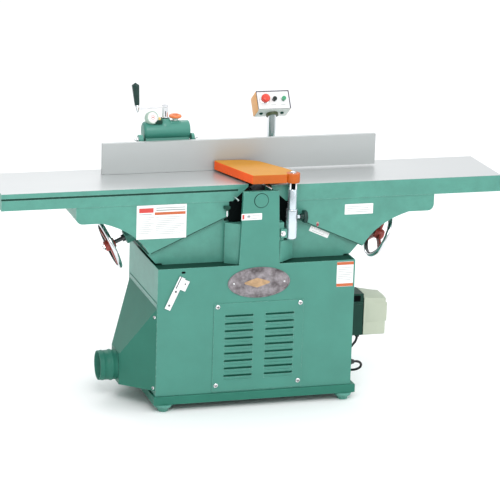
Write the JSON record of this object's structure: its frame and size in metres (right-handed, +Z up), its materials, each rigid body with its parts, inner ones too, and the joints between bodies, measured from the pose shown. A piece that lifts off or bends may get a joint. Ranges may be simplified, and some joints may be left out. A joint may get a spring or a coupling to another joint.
{
  "type": "jointer",
  "caption": "Floor-standing woodworking jointer with parallelogram tables, cutterhead, swinging guard, tilting fence, handwheels, cabinet base and dust port.",
  "frame": {"origin": "centre of the machine's bounding box on the floor, below the feet", "axes": "+X along the tables towards the infeed end, +Y from the operator's side to the fence side, +Z up"},
  "size_m": [2.032, 0.6438, 1.2409],
  "materials": {
    "green_paint": "semi-gloss machine enamel with a faint orange-peel texture",
    "dark_green_paint": "semi-gloss dark enamel",
    "ground_steel": "finely ground, bright",
    "chrome": "bright plated",
    "dark_steel": "oiled, dark",
    "cast_iron": "painted dark, rough casting",
    "black_plastic": "satin",
    "black_rubber": "matt",
    "orange_plastic": "satin gloss",
    "red_paint": "gloss",
    "red_plastic": "gloss",
    "green_plastic": "gloss",
    "beige_plastic": "moulded satin",
    "plate_bronze": "aged, cast"
  },
  "bodies": {
    "root": {"cabinet_front": "green_paint", "cabinet_left": "green_paint", "cabinet_right": "green_paint", "cabinet_rear": "green_paint", "cabinet_deck": "dark_green_paint", "base_frame": "green_paint", "foot_front_left": "green_paint", "foot_front_right": "green_paint", "foot_rear_left": "green_paint", "foot_rear_right": "green_paint", "access_panel": "green_paint", "nameplate": "plate_bronze", "front_lever": "chrome", "dust_hood": "green_paint", "dust_port": "green_paint", "chip_chute": "dark_green_paint", "bed_casting": "green_paint", "neck_frame": "green_paint", "neck_plug": "green_paint", "bearing_block_front": "cast_iron", "bearing_block_rear": "cast_iron", "rear_belt_cover": "green_paint", "drive_belt": "black_rubber", "motor": "cast_iron", "switch_box_base": "dark_green_paint", "switch_box_cover": "beige_plastic", "wall_gland": "black_plastic", "control_cable": "black_rubber", "column_bracket": "green_paint", "control_column": "chrome", "control_box": "orange_plastic", "guard_bracket": "cast_iron", "guard_sleeve": "chrome", "outfeed_lead_nut": "cast_iron", "infeed_lead_nut": "cast_iron"},
    "outfeed_table": {"outfeed_table": "green_paint", "outfeed_screw_bearing": "green_paint", "fence_bracket": "green_paint"},
    "outfeed_wheel": {"outfeed_lead_screw": "dark_steel", "outfeed_handwheel": "chrome"},
    "infeed_table": {"infeed_table": "green_paint", "infeed_screw_bearing": "green_paint", "depth_pointer": "red_paint"},
    "infeed_wheel": {"infeed_lead_screw": "dark_steel", "infeed_handwheel": "chrome"},
    "cutterhead": {"cutterhead": "ground_steel", "head_pulley": "cast_iron"},
    "motor_rotor": {"motor_pulley": "cast_iron"},
    "fence_saddle": {"fence_saddle": "green_paint"},
    "fence": {"fence_plate": "ground_steel", "fence_housing": "green_paint"},
    "fence_crank": {"crank_arm": "chrome"},
    "crank_grip": {"crank_grip": "black_plastic"},
    "fence_lock_knob": {"fence_lock_knob": "orange_plastic"},
    "guard_post": {"guard_post": "chrome"},
    "guard": {"guard_plate": "orange_plastic"},
    "guard_clamp_knob": {"guard_clamp_knob": "black_plastic"},
    "emergency_stop_button": {"emergency_stop_button": "red_plastic"},
    "start_button": {"start_button": "black_plastic"},
    "feed_button": {"feed_button": "green_plastic"}
  },
  "joints": [
    {"name": "outfeed_table_slide", "type": "slide", "parent": "root", "child": "outfeed_table", "axis": [0.9135, 0, 0.4067], "range_m": [-0.0074, 0.0074]},
    {"name": "outfeed_wheel_turn", "type": "hinge", "parent": "outfeed_table", "child": "outfeed_wheel", "pos_m": [-0.462, -0.0813, 0.6686], "axis": [-0.9135, 0, -0.4067], "range_deg": [-450, 450]},
    {"name": "infeed_table_slide", "type": "slide", "parent": "root", "child": "infeed_table", "axis": [-0.9135, 0, 0.4067], "range_m": [-0.0258, 0.0208]},
    {"name": "infeed_wheel_turn", "type": "hinge", "parent": "infeed_table", "child": "infeed_wheel", "pos_m": [0.47109, -0.0813, 0.6601], "axis": [0.9135, 0, -0.4067], "range_deg": [-1560, 1260]},
    {"name": "cutterhead_spin", "type": "hinge", "parent": "root", "child": "cutterhead", "pos_m": [-0.005, -0.0813, 0.842], "axis": [0, 1, 0], "continuous": true},
    {"name": "motor_spin", "type": "hinge", "parent": "root", "child": "motor_rotor", "pos_m": [0.08, -0.0813, 0.24], "axis": [0, 1, 0], "continuous": true},
    {"name": "fence_slide", "type": "slide", "parent": "outfeed_table", "child": "fence_saddle", "axis": [0, 1, 0], "range_m": [0, 0.065]},
    {"name": "fence_tilt", "type": "hinge", "parent": "fence_saddle", "child": "fence", "pos_m": [-0.299, 0.0089, 0.9003], "axis": [-1, 0, 0], "range_deg": [0, 45]},
    {"name": "fence_crank_turn", "type": "hinge", "parent": "fence", "child": "fence_crank", "pos_m": [-0.295, 0.0907, 1.0888], "axis": [0, 0, 1], "range_deg": [0, 250]},
    {"name": "crank_grip_spin", "type": "hinge", "parent": "fence_crank", "child": "crank_grip", "pos_m": [-0.41422, 0.0707, 1.14734], "axis": [-0.0995, 0, 0.995], "continuous": true},
    {"name": "fence_lock_turn", "type": "hinge", "parent": "fence", "child": "fence_lock_knob", "pos_m": [-0.252, 0.0907, 1.0771], "axis": [0, 0, 1], "range_deg": [0, 180]},
    {"name": "guard_height", "type": "slide", "parent": "root", "child": "guard_post", "axis": [0, 0, 1], "range_m": [0, 0.06]},
    {"name": "guard_swing", "type": "hinge", "parent": "guard_post", "child": "guard", "pos_m": [0.13, -0.2733, 0.899], "axis": [0, 0, 1], "range_deg": [0, 75], "stiffness_Nm_per_rad": 1.5, "springref_deg": -20.05},
    {"name": "guard_clamp_turn", "type": "hinge", "parent": "root", "child": "guard_clamp_knob", "pos_m": [0.1485, -0.2733, 0.758], "axis": [1, 0, 0], "range_deg": [-180, 0]},
    {"name": "emergency_stop_press", "type": "slide", "parent": "root", "child": "emergency_stop_button", "axis": [0, 0.829, -0.5592], "range_m": [0, 0.004], "stiffness_N_per_m": 900, "springref_m": -0.002},
    {"name": "start_press", "type": "slide", "parent": "root", "child": "start_button", "axis": [0, 0.829, -0.5592], "range_m": [0, 0.004], "stiffness_N_per_m": 600, "springref_m": -0.002},
    {"name": "feed_press", "type": "slide", "parent": "root", "child": "feed_button", "axis": [0, 0.829, -0.5592], "range_m": [0, 0.004], "stiffness_N_per_m": 600, "springref_m": -0.002}
  ],
  "couplings": [
    {"joint": "outfeed_wheel_turn", "follows": "outfeed_table_slide", "rad_per_m": 1047.2},
    {"joint": "infeed_wheel_turn", "follows": "infeed_table_slide", "rad_per_m": 1047.2},
    {"joint": "motor_spin", "follows": "cutterhead_spin", "ratio": 0.68293},
    {"joint": "fence_crank_turn", "follows": "fence_slide", "rad_per_m": 66.667}
  ]
}
